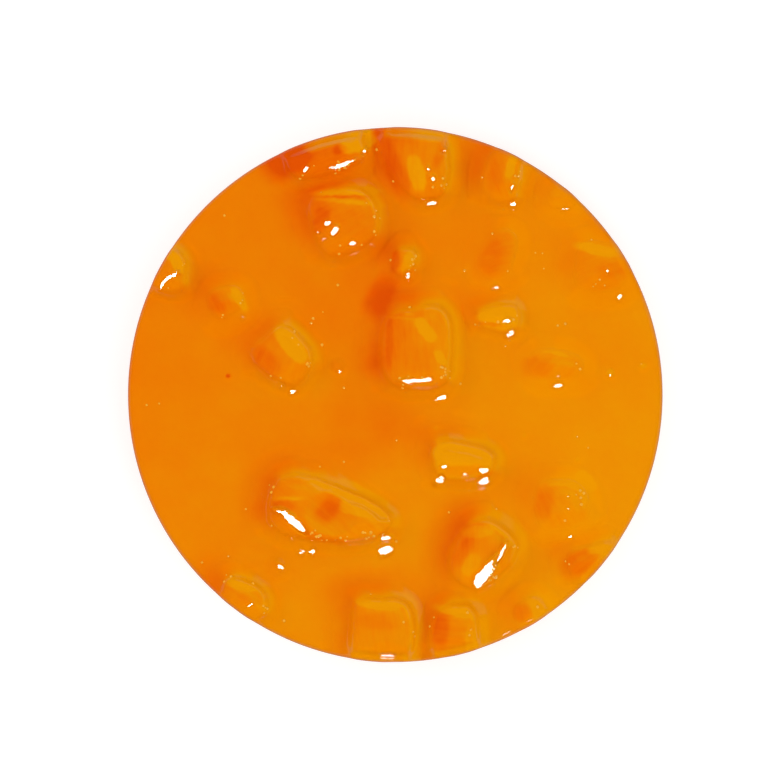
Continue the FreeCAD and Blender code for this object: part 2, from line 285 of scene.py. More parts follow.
class Film:
    """The height field of the whole top and the fields that the finish reads."""

    def __init__(self):
        self.edge = wall_radius_at(RIM_HEIGHT) - RIM_ROUND
        count = math.ceil(radius * 1.08 / GRID_STEP)
        self.axis = numpy.arange(-count, count + 1) * GRID_STEP
        size = len(self.axis)
        self.heights = numpy.zeros((size, size))
        self.owner = numpy.zeros((size, size), int)
        sway_x, sway_y = self.sway()
        for row in range(size):
            for column in range(size):
                x, y = self.axis[column] + sway_x[row, column], self.axis[row] + sway_y[row, column]
                away = math.hypot(x, y)
                inwards = min(1, (self.edge - GRID_STEP) / away) if away else 1
                start = Vector((x * inwards, y * inwards, cad_high.z * 2))
                hit, _, face, _ = everything.ray_cast(start, Vector((0, 0, -1)))
                self.heights[row, column] = hit.z
                self.owner[row, column] = owners[face]
        self.film = self.blurred(self.heights, FILM_REACH)

    def sway(self):
        """Offsets that carry the solids' even outlines to a hand cut's uneven ones."""
        columns, rows = numpy.meshgrid(self.axis, self.axis)
        fade = numpy.clip((self.edge - numpy.hypot(columns, rows)) / (1.5 * MM), 0, 1)
        offsets = []
        for seed in (21.4, 33.7):
            broad = waves(columns, rows, 4.5 * MM, seed)
            fine = waves(columns, rows, 1.6 * MM, seed + 5)
            offsets.append(SWAY * fade * (broad + 0.45 * fine))
        return offsets

    def blurred(self, field, reach):
        """A field softened over a reach, by a bell curve."""
        span = max(1, math.ceil(3 * reach / GRID_STEP))
        steps = numpy.arange(-span, span + 1) * GRID_STEP
        weights = numpy.exp(-0.5 * (steps / reach) ** 2)
        weights /= weights.sum()
        padded = numpy.pad(field.astype(float), span, mode="edge")
        along = sum(weight * padded[:, i:i + field.shape[1]] for i, weight in enumerate(weights))
        return sum(weight * along[i:i + field.shape[0]] for i, weight in enumerate(weights))

    def shifted(self, field, offset):
        """A field read at a place moved by an offset."""
        rows, columns = numpy.meshgrid(self.axis, self.axis, indexing="ij")
        return self.read(field, columns + offset[0], rows + offset[1])

    def read(self, field, x, y):
        """A field's values at places between its points."""
        last = len(self.axis) - 2
        across = numpy.clip((x - self.axis[0]) / GRID_STEP, 0, last + 0.999)
        up = numpy.clip((y - self.axis[0]) / GRID_STEP, 0, last + 0.999)
        column, row = across.astype(int), up.astype(int)
        part_x, part_y = across - column, up - row
        lower = field[row, column] * (1 - part_x) + field[row, column + 1] * part_x
        upper = field[row + 1, column] * (1 - part_x) + field[row + 1, column + 1] * part_x
        return lower * (1 - part_y) + upper * part_y

    def mask(self, number=None):
        """1 on the fruit and 0 on the sauce, softened at the seam. number picks one piece."""
        on = self.owner > 0 if number is None else self.owner == number
        return self.blurred(on, SEAM_SOFTNESS)

    def drop(self, x, y):
        """How far the soft rim takes the top down at a place."""
        out = numpy.clip(numpy.hypot(x, y) - self.edge, 0, RIM_ROUND)
        return RIM_ROUND - numpy.sqrt(RIM_ROUND ** 2 - out ** 2)


film = Film()
wall_heights = numpy.linspace(0.02 * MM, WALL_TOP, 18)
wall_radii = numpy.array([wall_radius_at(height) for height in wall_heights])


def seam_fields():
    """How far each place is inside the nearest seam, the way there, and whose seam it is."""
    owner = film.owner
    edge = numpy.zeros(owner.shape, bool)
    edge[:, 1:] |= owner[:, 1:] != owner[:, :-1]
    edge[1:, :] |= owner[1:, :] != owner[:-1, :]
    places = numpy.argwhere(edge)
    tree = KDTree(len(places))
    for number, (row, column) in enumerate(places):
        tree.insert((film.axis[column], film.axis[row], 0), number)
    tree.balance()
    around = numpy.maximum.reduce([numpy.roll(owner, shift, axis) for shift in (-1, 0, 1)
                                   for axis in (0, 1)])
    away = numpy.full(owner.shape, 1.0)
    nearest = numpy.zeros(owner.shape, int)
    way_x, way_y = numpy.zeros(owner.shape), numpy.zeros(owner.shape)
    for row, column in numpy.argwhere(numpy.hypot(columns, rows) < radius * 1.02):
        place = Vector((film.axis[column], film.axis[row], 0))
        seam, index, distance = tree.find(place)
        away[row, column] = distance
        nearest[row, column] = around[tuple(places[index])]
        way_x[row, column], way_y[row, column] = (seam - place).to_2d() / max(distance, 1e-9)
    inset = film.blurred(numpy.where(owner > 0, away, -away), 0.2 * MM)
    return inset, film.blurred(way_x, 0.3 * MM), film.blurred(way_y, 0.3 * MM), nearest


def smooth_step(values):
    """0 below 0, 1 above 1, and a soft rise between."""
    values = numpy.clip(values, 0, 1)
    return values * values * (3 - 2 * values)


def place_on(number, across, up):
    """A place on a piece of fruit, given as shares of half its box."""
    low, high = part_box(FRUIT[number - 1])
    x = (low.x + high.x) / 2 + across * (high.x - low.x) / 2
    y = (low.y + high.y) / 2 + up * (high.y - low.y) / 2
    return x, y


def oval_weight(middle_x, middle_y, length, width, heading, softness):
    """1 in a frayed oval of a size in millimetres, fading to 0 at its edge."""
    turn = math.radians(heading)
    x, y = columns + fray_x - middle_x, rows + fray_y - middle_y
    along = (x * math.cos(turn) + y * math.sin(turn)) / (length / 2 * MM)
    aside = (y * math.cos(turn) - x * math.sin(turn)) / (width / 2 * MM)
    size = (numpy.abs(along) ** OVAL_POWER + numpy.abs(aside) ** OVAL_POWER) ** (1 / OVAL_POWER)
    inwards = (1 - size) * min(length, width) / 2 * MM
    return smooth_step(inwards / softness + 0.5)


def swell_weight(across, up, reach):
    """1 at the middle of a small round swell and 0 at its edge."""
    away = numpy.hypot(columns + fray_x - across * radius, rows + fray_y - up * radius)
    return smooth_step(1.3 - away / (reach * MM))


def creased(height):
    """The film with collars that end in a crease, not in a long fading foot."""
    rise = numpy.clip(height - level_height, 0, None)
    away = numpy.clip(-inset, 0, None)
    collars = [0] + [COLLAR_SHARE * (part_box(name)[1].z - level_height) for name in FRUIT]
    feet = [collar / STEEP_COLLAR if collar > TALL_COLLAR else WIDE_FOOT for collar in collars]
    foot = film.blurred(numpy.array(feet)[nearest], 0.5 * MM)
    foot += (WIDE_FOOT - foot) * smooth_step(to_light / 0.5)        # wide in the lee
    straight = numpy.exp(away / COLLAR_FADE) * numpy.clip(1 - away / foot, 0, 1)
    return numpy.where(away < 4 * MM, numpy.minimum(height, level_height + rise * straight), height)


def bevelled(height):
    """The film with a sloping edge on each crown's side towards the bright wall."""
    share = smooth_step((facing - 0.42) / 0.40) * smooth_step((band_waves + 0.35) / 0.30)
    cut = height.copy()
    band = numpy.zeros_like(height)
    for number in range(1, len(FRUIT) + 1):
        inner = (film.owner == number) & (inset > 1.4 * MM)
        if inner.sum() < 9:     # too small to have a crown
            continue
        table = numpy.stack([numpy.ones(inner.sum()), columns[inner], rows[inner]], axis=1)
        plane = numpy.linalg.lstsq(table, height[inner], rcond=None)[0]
        crown_top = plane[0] + plane[1] * columns + plane[2] * rows
        plain_width = BEVELS.get(number, PLAIN_BEVEL) * MM
        width = plain_width * (1 + 0.25 * bevel_waves)
        rise = numpy.median(height[inner]) - level_height
        drop = min(math.tan(math.radians(BEVEL_TILT)) * plain_width, BEVEL_SHARE * rise)
        slope = crown_top - drop * numpy.clip(1 - inset / width, 0, 1)
        on = (film.owner == number) & (inset < width)
        cut = numpy.where(on, cut + share * (numpy.minimum(cut, slope) - cut), cut)
        band = numpy.where(on, share, band)
    return cut, band


def flattened(height):
    """The film with its small mirror flats, and where they lie."""
    turn = math.radians(WINDOW_AZIMUTH)
    flat = numpy.zeros_like(height)
    for number, flats in FLATS.items():
        for across, up, length, width, heading in flats:
            x, y = place_on(number, across, up)
            weight = oval_weight(x, y, length + FLAT_EDGE, width + FLAT_EDGE, heading, FLAT_SOFTNESS)
            middle = film.read(height, numpy.array([x]), numpy.array([y]))[0]
            out = (columns - x) * math.cos(turn) + (rows - y) * math.sin(turn)
            height = height + weight * (middle - window_fall * out - height)
            flat = numpy.maximum(flat, weight)
    return height, flat


def dulled(height, bright):
    """How dull the film is: on slopes that face the window it is, but not where it is bright."""
    turn = math.radians(WINDOW_AZIMUTH)
    slope_y, slope_x = numpy.gradient(height, GRID_STEP)
    off = numpy.hypot(slope_x + window_fall * math.cos(turn), slope_y + window_fall * math.sin(turn))
    mirrors = smooth_step((DULL_SPREAD - off) / DULL_EDGE)
    for _ in range(2):      # spread by two cells, so that no rim of them is left bright
        for axis in (0, 1):
            sides = [numpy.roll(mirrors, step, axis) for step in (-1, 0, 1)]
            mirrors = numpy.maximum.reduce(sides)
    return film.blurred(mirrors, 0.12 * MM) * (1 - smooth_step(bright * 1.6))


# Fields over the whole top that the shaping shares
columns, rows = numpy.meshgrid(film.axis, film.axis)
fruit_mask = film.mask()
inset, seam_x, seam_y, nearest = seam_fields()
on_fruit = film.owner > 0
fray_x = FRAY * waves(columns, rows, 0.8 * MM, 41.3)
fray_y = FRAY * waves(columns, rows, 0.8 * MM, 47.9)
bevel_waves = waves(columns, rows, 3.0 * MM, 12.1)
band_waves = waves(columns, rows, 5.0 * MM, 17.9)
to_light = seam_x * LIGHT_SIDE.x + seam_y * LIGHT_SIDE.y
facing = seam_x * BRIGHT_SIDE.x + seam_y * BRIGHT_SIDE.y
level_height = numpy.percentile(film.film, 20)
window_fall = math.tan(math.radians((90 - WINDOW_LIFT) / 2))

# The film's own unevenness, in millimetres
swell = 0.11 * waves(columns, rows, 7 * MM, 3.1) + 0.05 * waves(columns, rows, 2.6 * MM, 8.7)
grain = 0.012 * waves(columns, rows, 0.9 * MM, 5.3)
lumps = 0.06 * waves(columns, rows, 1.9 * MM, 1.7)

# The film takes its shape: creased collars, sloping edges, a dip inside each cut's edge,
# the unevenness, the swells, and last the flats, which nothing may disturb.
shaped, bevel_band = bevelled(creased(film.film))
film.film = film.blurred(shaped, 0.11 * MM)
pucker = numpy.exp(-0.5 * ((inset - PUCKER_INSET) / PUCKER_WIDTH) ** 2) * on_fruit
pucker *= 0.2 + 0.8 * numpy.clip(facing, 0, 1) + 0.5 * waves(columns, rows, 2.2 * MM, 6.4)
film.film -= film.blurred(PUCKER_DEPTH * numpy.clip(pucker, 0, 1), 0.15 * MM)
film.film += MM * (swell * (1 - 0.4 * fruit_mask) + (grain + lumps) * (0.25 + 0.75 * fruit_mask))
level = film.blurred(film.film, 1.0 * MM)
bright = numpy.zeros_like(film.film)
for across, up, reach, height, change in SWELLS:
    weight = swell_weight(across, up, reach)
    film.film += height * MM * weight
    bright = numpy.maximum(bright, weight)
film.film, flat = flattened(film.film)

# Thick pulpy sauce shines only in the places made for it, and the collars on the bright
# side shine in part.
dull = dulled(film.film, numpy.maximum(bright, flat))
collar = smooth_step(-inset / (0.3 * MM)) * smooth_step((2.4 * MM + inset) / (0.8 * MM))
shine = smooth_step((band_waves + 0.05) / 0.25)
dull = numpy.maximum(dull, collar * smooth_step(-facing / 0.3) * (1 - shine))

# Painted shade: sauce on the side of the fruit away from the light is coloured a deeper orange, as if
# it lay in the fruit's shade.
painted_lee_shade = numpy.zeros_like(film.film)
for step, weight in ((1.5, 0.34), (3.0, 0.36), (4.5, 0.30)):
    towards = film.shifted(level, LIGHT_SIDE * step * MM)
    painted_lee_shade += weight * numpy.clip((towards - level) / (1.6 * MM), 0, 1)
painted_lee_shade = film.blurred(painted_lee_shade, 0.6 * MM)

# Painted shade: round each crown on the side away from the light runs a band of still deeper sauce,
# with a clear edge.
bulk = film.blurred(numpy.clip((film.film - level_height) / (2.6 * MM), 0, 1) * on_fruit, 2.0 * MM)
reach = (2.3 + 1.1 * bevel_waves) * MM
painted_shade_band = smooth_step((reach + inset) / (0.5 * MM)) * smooth_step((to_light + 0.15) / 0.6)
painted_shade_band = painted_shade_band * (1 - fruit_mask) * numpy.clip(2.2 * bulk, 0, 1)

# Painted sheen: where a crown slopes away towards the bright wall, and on the sloping edges cut on that
# side, its colour is paler, standing in for the wall's pale reflection.
slope_y, slope_x = numpy.gradient(film.film, GRID_STEP)
falling = -(slope_x * BRIGHT_SIDE.x + slope_y * BRIGHT_SIDE.y)
painted_sheen = numpy.clip(falling / 0.7, 0, 1) * numpy.clip((film.film - level_height) / (0.9 * MM), 0, 1)
painted_sheen = numpy.maximum(film.blurred(painted_sheen, 0.15 * MM), 0.85 * film.blurred(bevel_band, 0.12 * MM))

# The colour's depth: painted shade in the lee and its band, less painted sheen, then the listed
# patches, shades and swells.
shade_sheen_and_tone = 0.44 * painted_lee_shade + 0.20 * film.blurred(painted_shade_band, 0.2 * MM) - 0.50 * painted_sheen
for number, patches in SHADE_SHEEN_AND_TONE_PATCHES.items():
    for across, up, length, width, heading, change in patches:
        x, y = place_on(number, across, up)
        softness = PALE_SOFTNESS if change < 0 else DEEP_SOFTNESS * width * MM
        shade_sheen_and_tone += change * oval_weight(x, y, length, width, heading, softness)
for across, up, length, width, heading, change in SHADES:
    softness = 0.8 * min(length, width) * MM
    shade_sheen_and_tone += change * oval_weight(across * radius, up * radius, length, width, heading, softness)
for across, up, reach, height, change in SWELLS:
    shade_sheen_and_tone += change * swell_weight(across, up, reach)

# Where the fruit's own tone and fibres show: not at the seam, and not over the rim.
soft_fruit = film.blurred(on_fruit, 0.5 * MM)
soft_fruit *= smooth_step((film.edge - numpy.hypot(columns, rows)) / (0.8 * MM) + 0.3)


# ---------------------------------------------------------------- making meshes

def new_object(name, data):
    """An object in the scene."""
    thing = bpy.data.objects.new(name, data)
    bpy.context.scene.collection.objects.link(thing)
    return thing


def new_mesh(name, points, faces, fields):
    """A smooth object with float attributes, one number for each point."""
    mesh = bpy.data.meshes.new(name)
    mesh.from_pydata([tuple(point) for point in points], [], faces)
    mesh.validate()
    mesh.shade_smooth()
    for label, values in fields.items():
        layer = mesh.attributes.new(label, "FLOAT", "POINT")
        layer.data.foreach_set("value", numpy.asarray(values, dtype=numpy.float32))
    return new_object(name, mesh)


def fields_at(x, y):
    """What the finish reads at places on the top."""
    return {"shade_sheen_and_tone": film.read(shade_sheen_and_tone, x, y), "fruit": film.read(soft_fruit, x, y),
            "gloss": 1 - film.read(dull, x, y)}


def wall_at(height):
    """How wide the wall is at a height, from the middle."""
    return numpy.interp(height, wall_heights, wall_radii)


def ring_faces(first, second, count):
    """Quads between two closed rings of points, the first one inside or above."""
    return [(first + i, second + i, second + (i + 1) % count, first + (i + 1) % count)
            for i in range(count)]


def grid_faces(cells):
    """Quads between the points of a square grid."""
    side = cells + 1
    corner = (numpy.arange(cells)[:, None] * side + numpy.arange(cells)).ravel()
    return numpy.stack([corner, corner + 1, corner + side + 1, corner + side], axis=1).tolist()


def disc_grid(cells):
    """A square grid bent into a disc of radius 1, so that its cells stay even."""
    steps = numpy.linspace(-1, 1, cells + 1)
    a, b = numpy.meshgrid(steps, steps)
    wide = numpy.abs(a) > numpy.abs(b)
    safe_a, safe_b = numpy.where(a == 0, 1, a), numpy.where(b == 0, 1, b)
    angle = numpy.where(wide, math.pi / 4 * b / safe_a, math.pi / 2 - math.pi / 4 * a / safe_b)
    reach = numpy.where(wide, a, b)
    return reach * numpy.cos(angle), reach * numpy.sin(angle)


def fruit_behind_wall(angle, heights):
    """How much of each place on the wall has fruit close behind it, ring by ring."""
    shows = numpy.zeros(heights.shape)
    for row, ring in enumerate(heights):
        for column, height in enumerate(ring):
            way = Vector((math.cos(angle[column]), math.sin(angle[column]), 0))
            start = way * radius * 2 + Vector((0, 0, max(0.05 * MM, min(height, WALL_TOP))))
            face = everything.ray_cast(start, -way)[2]
            shows[row, column] = face is not None and owners[face] > 0
    around = sum(numpy.roll(shows, step, axis=1) for step in range(-4, 5)) / 9
    padded = numpy.pad(around, ((1, 1), (0, 0)), mode="edge")
    return smooth_step((padded[:-2] + padded[1:-1] + padded[2:]) / 3)


def dress_sauce():
    """The sauce: one even sheet over the top, a soft rim and a wall down to the foot."""
    x, y = disc_grid(SAUCE_CELLS)
    x, y = x * film.edge, y * film.edge
    dip = SEAM_DEPTH * numpy.clip(film.read(fruit_mask, x, y) - SAUCE_SLIP, 0, 1) ** 2
    dip *= smooth_step((film.edge - numpy.hypot(x, y)) / (0.5 * MM))
    z = film.read(film.film, x, y) - dip
    points = numpy.stack([x.ravel(), y.ravel(), z.ravel()], axis=1)
    faces = grid_faces(SAUCE_CELLS)

    # the border of the sheet, once round
    last, side = SAUCE_CELLS, SAUCE_CELLS + 1
    border = ([i for i in range(last)]
              + [row * side + last for row in range(last)]
              + [last * side + last - i for i in range(last)]
              + [(last - row) * side for row in range(last)])
    count = len(border)
    rim_x, rim_y, rim_z = x.ravel()[border], y.ravel()[border], z.ravel()[border]
    angle = numpy.arctan2(rim_y, rim_x)

    # rings over the soft rim and down the wall: how far out and how high they run
    outs, heights = [], []
    for turn in (0.2, 0.4, 0.6, 0.8, 1.0):
        turn *= math.pi / 2
        outs.append(film.edge + (wall_at(rim_z - RIM_ROUND) - film.edge) * math.sin(turn))
        heights.append(rim_z - RIM_ROUND * (1 - math.cos(turn)))
    for step in range(1, WALL_LEVELS + 1):
        heights.append((rim_z - RIM_ROUND) * (1 - step / WALL_LEVELS))
        outs.append(wall_at(heights[-1]))
    outs, heights = numpy.array(outs), numpy.array(heights)
    behind = fruit_behind_wall(angle, heights)
    down = smooth_step((rim_z - heights) / WALL_FADE)
    outs += WALL_BULGE * behind * down
    ring_points = [numpy.stack([out * numpy.cos(angle), out * numpy.sin(angle), height], axis=1)
                   for out, height in zip(outs, heights)]
    starts = [len(points) + i * count for i in range(len(outs))]
    points = numpy.concatenate([points] + ring_points)
    faces += [(border[i], starts[0] + i, starts[0] + (i + 1) % count, border[(i + 1) % count])
              for i in range(count)]
    for above, below in zip(starts, starts[1:]):
        faces += ring_faces(above, below, count)
    faces.append(list(range(starts[-1], starts[-1] + count))[::-1])

    # what the finish reads there
    shades = [film.read(shade_sheen_and_tone, x, y).ravel()]
    shades += list(film.read(shade_sheen_and_tone, rim_x, rim_y) * (1 - down) + WALL_SHADE * behind * down)
    gloss = 1 - film.read(dull, x, y).ravel()
    on_wall = smooth_step((rim_z - heights) / (0.6 * MM))
    ring_gloss = 1 + (WALL_GLOSS - 1) * on_wall - film.read(dull, rim_x, rim_y) * (1 - on_wall)
    fields = {"shade_sheen_and_tone": numpy.concatenate(shades),
              "gloss": numpy.concatenate([gloss, ring_gloss.ravel()])}
    return new_mesh("sauce_film", points, faces, fields)


def held_in(x, y, limit):
    """Places moved towards the middle where they are further from it than a limit."""
    keep = numpy.minimum(1, limit / numpy.maximum(numpy.hypot(x, y), 1e-9))
    return x * keep, y * keep


def outline_of(tree, middle, height, count):
    """How far a piece of fruit reaches from its middle at a height, in each direction."""
    reach = []
    for step in range(count):
        angle = 2 * math.pi * step / count
        way = Vector((math.cos(angle), math.sin(angle), 0))
        hit = tree.ray_cast(Vector((middle.x, middle.y, height)), way)[0]
        reach.append((Vector((hit.x, hit.y)) - middle).length if hit else 0)
    return numpy.array(reach)


picker = numpy.random.default_rng(11)       # picks the way that each piece's fibres run


def dress_fruit(number, name):
    """A piece of fruit: rings over its crown, which the film shapes, and down its sides."""
    tree, _ = solid_tree([name])
    low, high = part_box(name)
    middle = Vector(((low.x + high.x) / 2, (low.y + high.y) / 2))
    size = max(high.x - low.x, high.y - low.y) / 2
    count = max(48, round(2 * math.pi * size / FRUIT_ARC))
    ring_count = max(12, round(size / FRUIT_RING))
    levels = numpy.linspace(high.z - SIDE_START, low.z + FOOT_GAP, SIDE_LEVELS)
    sides = [outline_of(tree, middle, height, count) for height in levels]
    waist = numpy.maximum.reduce(sides[:3]) + SEAM_LAP
    angle = numpy.arange(count) * 2 * math.pi / count
    mask = film.mask(number)
    points = []
    for step in range(1, ring_count + 1):
        reach = waist * step / ring_count
        x, y = middle.x + reach * numpy.cos(angle), middle.y + reach * numpy.sin(angle)
        over = numpy.clip(numpy.hypot(x, y) - film.edge, 0, None)
        x, y = held_in(x, y, film.edge + RIM_LAP)
        dip = SEAM_DEPTH * numpy.clip(FRUIT_SLIP - film.read(mask, x, y), 0, 1) ** 2
        z = film.read(film.film, x, y) - film.drop(x, y) - dip - RIM_SLIP * over ** 2 + SEAM_LIFT
        points.append(numpy.stack([x, y, z], axis=1))
    edge_z = points[-1][:, 2]
    for height, reach in zip(levels, sides):
        x, y = middle.x + reach * numpy.cos(angle), middle.y + reach * numpy.sin(angle)
        x, y = held_in(x, y, min(film.edge + RIM_LAP, wall_at(height) - RIM_ROUND + RIM_LAP))
        z = numpy.minimum(height, edge_z - 0.1 * MM)
        points.append(numpy.stack([x, y, z], axis=1))
    rings = len(points)
    x, y = numpy.array([middle.x]), numpy.array([middle.y])
    peak = film.read(film.film, x, y) - film.drop(x, y)
    points = numpy.concatenate(points + [[[middle.x, middle.y, peak[0]]]])
    faces = [(rings * count, i, (i + 1) % count) for i in range(count)]
    for ring in range(rings - 1):
        faces += ring_faces(ring * count, (ring + 1) * count, count)
    faces.append([(rings - 1) * count + i for i in range(count)][::-1])
    fields = fields_at(points[:, 0], points[:, 1])
    fields["tone"] = numpy.full(len(points), TONES[number])
    turn = picker.uniform(0, math.pi)
    fields["along"] = points[:, 0] * math.cos(turn) + points[:, 1] * math.sin(turn)
    fields["across"] = points[:, 1] * math.cos(turn) - points[:, 0] * math.sin(turn)
    return new_mesh("glazed_" + name, points, faces, fields)


# ---------------------------------------------------------------- materials

WET_IOR = 1.42              # of sugary juice


def math_node(nodes, links, operation, *values):
    """A Math node fed with sockets or numbers, and its result."""
    node = nodes.new("ShaderNodeMath")
    node.operation = operation
    for socket, value in zip(node.inputs, values):
        if isinstance(value, (int, float)):
            socket.default_value = value
        else:
            links.new(value, socket)
    return node.outputs[0]


def attribute(nodes, name):
    """The value of one of a mesh's own fields."""
    node = nodes.new("ShaderNodeAttribute")
    node.attribute_name = name
    return node.outputs["Fac"]


def cloud(nodes, links, place, scale, detail):
    """Soft random values about a half, with swells of about 1 / scale metres."""
    node = nodes.new("ShaderNodeTexNoise")
    node.inputs["Scale"].default_value = scale
    node.inputs["Detail"].default_value = detail
    links.new(place, node.inputs["Vector"])
    return node.outputs["Fac"]


def plain_material(name, roughness):
    """A material with no mirror of its own, its nodes, its links and its shader."""
    material = bpy.data.materials.new(name)
    material.use_nodes = True
    nodes, links = material.node_tree.nodes, material.node_tree.links
    shader = nodes["Principled BSDF"]
    shader.inputs["Roughness"].default_value = roughness
    shader.inputs["Specular IOR Level"].default_value = 0.0
    return material, nodes, links, shader


def tint_group():
    """Shader nodes that colour sauce from pale to deep orange by its depth field, which holds painted
    shade and painted sheen as well as its own tone.
    """
    group = bpy.data.node_groups.new("SauceTint", "ShaderNodeTree")
    group.interface.new_socket("Extra depth", in_out="INPUT", socket_type="NodeSocketFloat")
    group.interface.new_socket("Color", in_out="OUTPUT", socket_type="NodeSocketColor")
    nodes, links = group.nodes, group.links
    inputs, outputs = nodes.new("NodeGroupInput"), nodes.new("NodeGroupOutput")
    place = nodes.new("ShaderNodeTexCoord").outputs["Object"]
    split = nodes.new("ShaderNodeSeparateXYZ")
    links.new(place, split.inputs[0])
    # a little deeper towards -X and +Y
    across = math_node(nodes, links, "MULTIPLY_ADD", split.outputs["X"], -4.0, -0.04)
    slope = math_node(nodes, links, "MULTIPLY_ADD", split.outputs["Y"], 3.0, across)
    # and cloudy, in three sizes
    broad = math_node(nodes, links, "MULTIPLY_ADD", cloud(nodes, links, place, 60, 3), 0.34, slope)
    middling = math_node(nodes, links, "MULTIPLY_ADD", cloud(nodes, links, place, 200, 2), 0.18, broad)
    cloudy = math_node(nodes, links, "MULTIPLY_ADD", cloud(nodes, links, place, 900, 2), 0.10, middling)
    # the depth field holds painted shade and painted sheen as well as the sauce's own tone
    shade = math_node(nodes, links, "ADD", attribute(nodes, "shade_sheen_and_tone"), cloudy)
    total = math_node(nodes, links, "ADD", shade, inputs.outputs["Extra depth"])
    ramp = nodes.new("ShaderNodeValToRGB")
    stops = ramp.color_ramp.elements
    stops[0].position, stops[0].color = 0.0, (0.885, 0.320, 0.0006, 1)
    stops[1].position, stops[1].color = 1.0, (0.800, 0.088, 0.0004, 1)
    middle = stops.new(0.38)
    middle.color = (0.880, 0.225, 0.0005, 1)
    deeper = stops.new(0.72)
    deeper.color = (0.865, 0.152, 0.0005, 1)
    links.new(total, ramp.inputs[0])
    links.new(ramp.outputs["Color"], outputs.inputs["Color"])
    return group


def wet_material(name, group, fruit):
    """Wet sauce, or fruit under a film of it."""
    material, nodes, links, shader = plain_material(name, 0.55)
    links.new(attribute(nodes, "gloss"), shader.inputs["Coat Weight"])
    shader.inputs["Coat Roughness"].default_value = 0.035
    shader.inputs["Coat IOR"].default_value = WET_IOR
    tint = nodes.new("ShaderNodeGroup")
    tint.node_tree = group
    if fruit:
        within = math_node(nodes, links, "MULTIPLY_ADD", attribute(nodes, "fruit"), 2.0, -1.0)
        inside = math_node(nodes, links, "MAXIMUM", within, 0.0)
        along = nodes.new("ShaderNodeCombineXYZ")
        stretched = math_node(nodes, links, "MULTIPLY", attribute(nodes, "along"), 0.16)
        links.new(stretched, along.inputs["X"])
        links.new(attribute(nodes, "across"), along.inputs["Y"])
        fibres = cloud(nodes, links, along.outputs[0], 1500, 3)
        streaks = math_node(nodes, links, "MULTIPLY_ADD", fibres, 0.36, -0.18)
        own = math_node(nodes, links, "ADD", attribute(nodes, "tone"), streaks)
        links.new(math_node(nodes, links, "MULTIPLY", own, inside), tint.inputs["Extra depth"])
    else:
        tint.inputs["Extra depth"].default_value = 0.0
    links.new(tint.outputs["Color"], shader.inputs["Base Color"])
    place = nodes.new("ShaderNodeTexCoord").outputs["Object"]
    bump = nodes.new("ShaderNodeBump")
    bump.inputs["Strength"].default_value = 0.25
    bump.inputs["Distance"].default_value = 0.05 * MM
    links.new(cloud(nodes, links, place, 900, 4), bump.inputs["Height"])
    links.new(bump.outputs["Normal"], shader.inputs["Normal"])
    return material


sauce_tint = tint_group()
sauce_material = wet_material("apricot_sauce", sauce_tint, False)
fruit_material = wet_material("apricot_flesh", sauce_tint, True)

sauce_piece = dress_sauce()
sauce_piece.data.materials.append(sauce_material)
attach(sauce_piece, "root")
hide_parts(SAUCE)

for number, name in enumerate(FRUIT, start=1):
    piece = dress_fruit(number, name)
    piece.data.materials.append(fruit_material)
    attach(piece, "root")
    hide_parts(name)


# ---------------------------------------------------------------- bubbles and pulp

def film_host(name, density):
    """A sheet of the film's top, with how densely small things lie on it."""
    x, y = disc_grid(HOST_CELLS)
    x, y = x.ravel() * (film.edge - 0.6 * MM), y.ravel() * (film.edge - 0.6 * MM)
    points = numpy.stack([x, y, film.read(film.film, x, y)], axis=1)
    return new_mesh(name, points, grid_faces(HOST_CELLS), {"density": film.read(density, x, y)})


